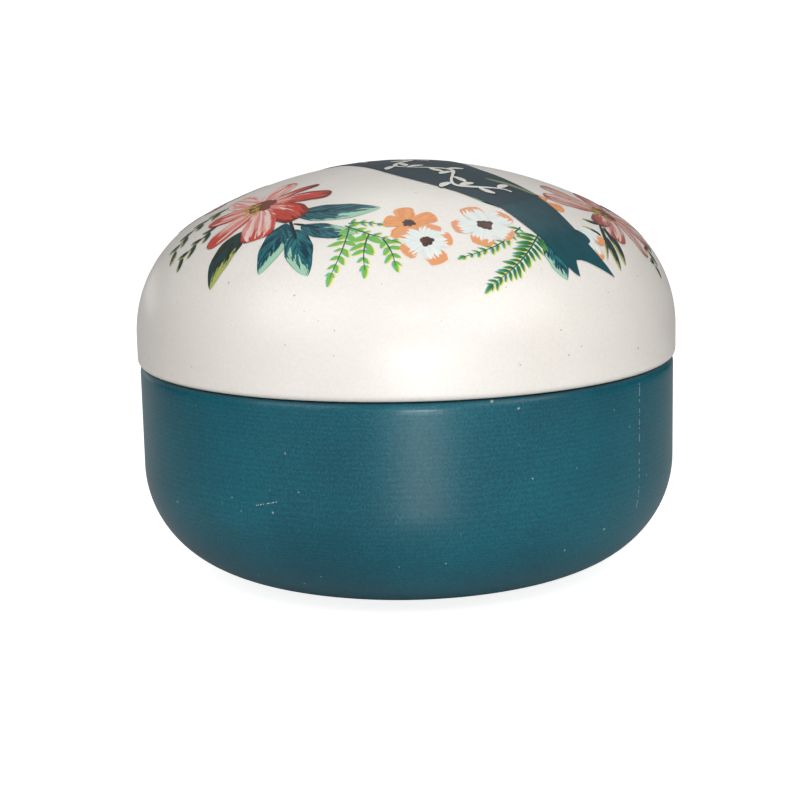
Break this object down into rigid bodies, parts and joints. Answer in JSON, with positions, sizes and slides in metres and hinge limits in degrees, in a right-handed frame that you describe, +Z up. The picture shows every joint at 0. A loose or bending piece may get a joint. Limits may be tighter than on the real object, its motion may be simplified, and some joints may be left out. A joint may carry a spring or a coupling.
{
  "type": "talcum powder tin",
  "caption": "Round squat dusting powder tin with a domed slip lid, a rounded body, a sifter tray with a turning shutter, and a powder puff under the lid.",
  "frame": {"origin": "centre of the standing ring, on the surface that the tin stands on", "axes": "+Z up along the tin's axis; +X along the puff's ribbon; -Y is the front of the printed wreath"},
  "size_m": [0.1, 0.1, 0.0753],
  "materials": {
    "teal_enamel": "satin roller-coated enamel on tinplate, fine grain",
    "cream_enamel": "satin cream enamel on tinplate",
    "print_ink": "litho ink under a satin varnish",
    "tray_plastic": "ivory moulding, half gloss",
    "shutter_plastic": "tan moulding, half gloss",
    "gasket_foam": "soft matt",
    "rivet_brass": "pressed, polished by touch",
    "washer_steel": "plated",
    "puff_foam": "open foam",
    "puff_velour": "long soft pile",
    "puff_satin": "satin weave",
    "ribbon_satin": "satin ribbon"
  },
  "bodies": {
    "tin_body": {"body_shell": "teal_enamel"},
    "lid": {"lid_shell": "cream_enamel"},
    "sifter": {"sifter_tray": "tray_plastic", "tray_gasket": "gasket_foam", "shutter_rivet": "rivet_brass", "rivet_washer": "washer_steel"},
    "shutter": {"sifter_shutter": "shutter_plastic"},
    "puff": {"puff_core": "puff_foam", "puff_face": "puff_velour", "puff_back": "puff_satin", "puff_ribbon": "ribbon_satin"}
  },
  "joints": [
    {"name": "lid_lift", "type": "slide", "parent": "tin_body", "child": "lid", "axis": [0, 0, 1], "range_m": [0, 0.088]},
    {"name": "puff_lift", "type": "slide", "parent": "tin_body", "child": "puff", "axis": [0, 0, 1], "range_m": [0, 0.044]},
    {"name": "sifter_lift", "type": "slide", "parent": "tin_body", "child": "sifter", "axis": [0, 0, 1], "range_m": [0, 0.022]},
    {"name": "shutter_turn", "type": "hinge", "parent": "sifter", "child": "shutter", "pos_m": [0, 0, 0.0396], "axis": [0, 0, 1], "range_deg": [0, 30]}
  ],
  "couplings": [
    {"joint": "puff_lift", "follows": "lid_lift", "ratio": 0.5},
    {"joint": "sifter_lift", "follows": "lid_lift", "ratio": 0.25}
  ]
}
